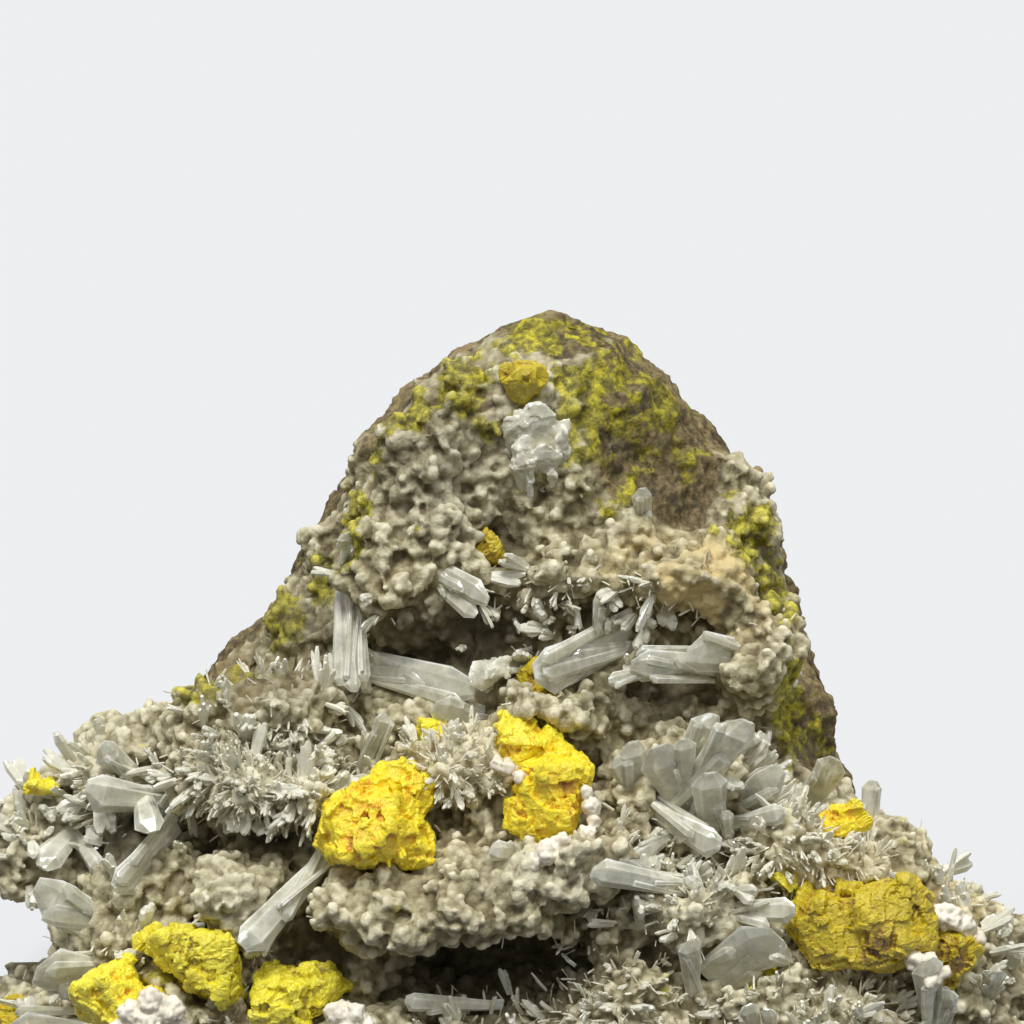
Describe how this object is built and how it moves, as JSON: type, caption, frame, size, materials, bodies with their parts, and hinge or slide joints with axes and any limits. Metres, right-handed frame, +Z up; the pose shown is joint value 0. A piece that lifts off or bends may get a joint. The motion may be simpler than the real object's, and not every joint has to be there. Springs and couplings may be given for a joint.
{
  "type": "native sulfur crystal specimen",
  "caption": "Hand specimen of blocky yellow sulfur crystals with clear celestine blades on a knobby limestone matrix, sawn flat to stand.",
  "frame": {"origin": "centre of the bounding box's bottom, on the sawn flat", "axes": "+X along the specimen's width, to the right seen from the crystal side; +Y into the specimen, so the crystals face -Y; +Z up, towards the peak"},
  "size_m": [0.1206, 0.0678, 0.0906],
  "materials": {
    "limestone": "rough, knobby grey-white crust over brown limestone stained yellow-green",
    "sulfur": "etched, resinous",
    "celestine": "clear to milky"
  },
  "bodies": {
    "root": {"celestine_broad_left_plate": "celestine", "celestine_broad_plate": "celestine", "celestine_centre_left_block": "celestine", "celestine_cross_bar": "celestine", "celestine_curved_plate": "celestine", "celestine_druse_pair": "celestine", "celestine_druse_single": "celestine", "celestine_fan": "celestine", "celestine_hanging_bundle": "celestine", "celestine_hollow_bar": "celestine", "celestine_leaning_slab": "celestine", "celestine_left_blade": "celestine", "celestine_left_corner_slab": "celestine", "celestine_limb_block": "celestine", "celestine_limb_end_block": "celestine", "celestine_long_blades": "celestine", "celestine_lower_twins": "celestine", "celestine_middle_plate": "celestine", "celestine_notch_plate": "celestine", "celestine_peak_block": "celestine", "celestine_right_end_prism": "celestine", "celestine_right_prism": "celestine", "celestine_rim_block": "celestine", "celestine_shelf_end_prism": "celestine", "celestine_shelf_prism": "celestine", "celestine_shelf_stub": "celestine", "celestine_skyline_prism": "celestine", "celestine_slope_prism": "celestine", "celestine_upper_pair": "celestine", "celestine_upper_spike": "celestine", "celestine_upright_prism": "celestine", "limestone_matrix": "limestone", "sulfur_behind_broad_plate": "sulfur", "sulfur_behind_centre": "sulfur", "sulfur_behind_mound": "sulfur", "sulfur_centre": "sulfur", "sulfur_large_right": "sulfur", "sulfur_left_corner": "sulfur", "sulfur_left_group": "sulfur", "sulfur_left_shoulder": "sulfur", "sulfur_lower_left": "sulfur", "sulfur_lower_left_orange": "sulfur", "sulfur_lower_middle": "sulfur", "sulfur_peak": "sulfur", "sulfur_right_end": "sulfur", "sulfur_small_right": "sulfur", "sulfur_under_plate": "sulfur", "sulfur_upper_hollow": "sulfur", "sulfur_upper_right": "sulfur"}
  },
  "joints": []
}
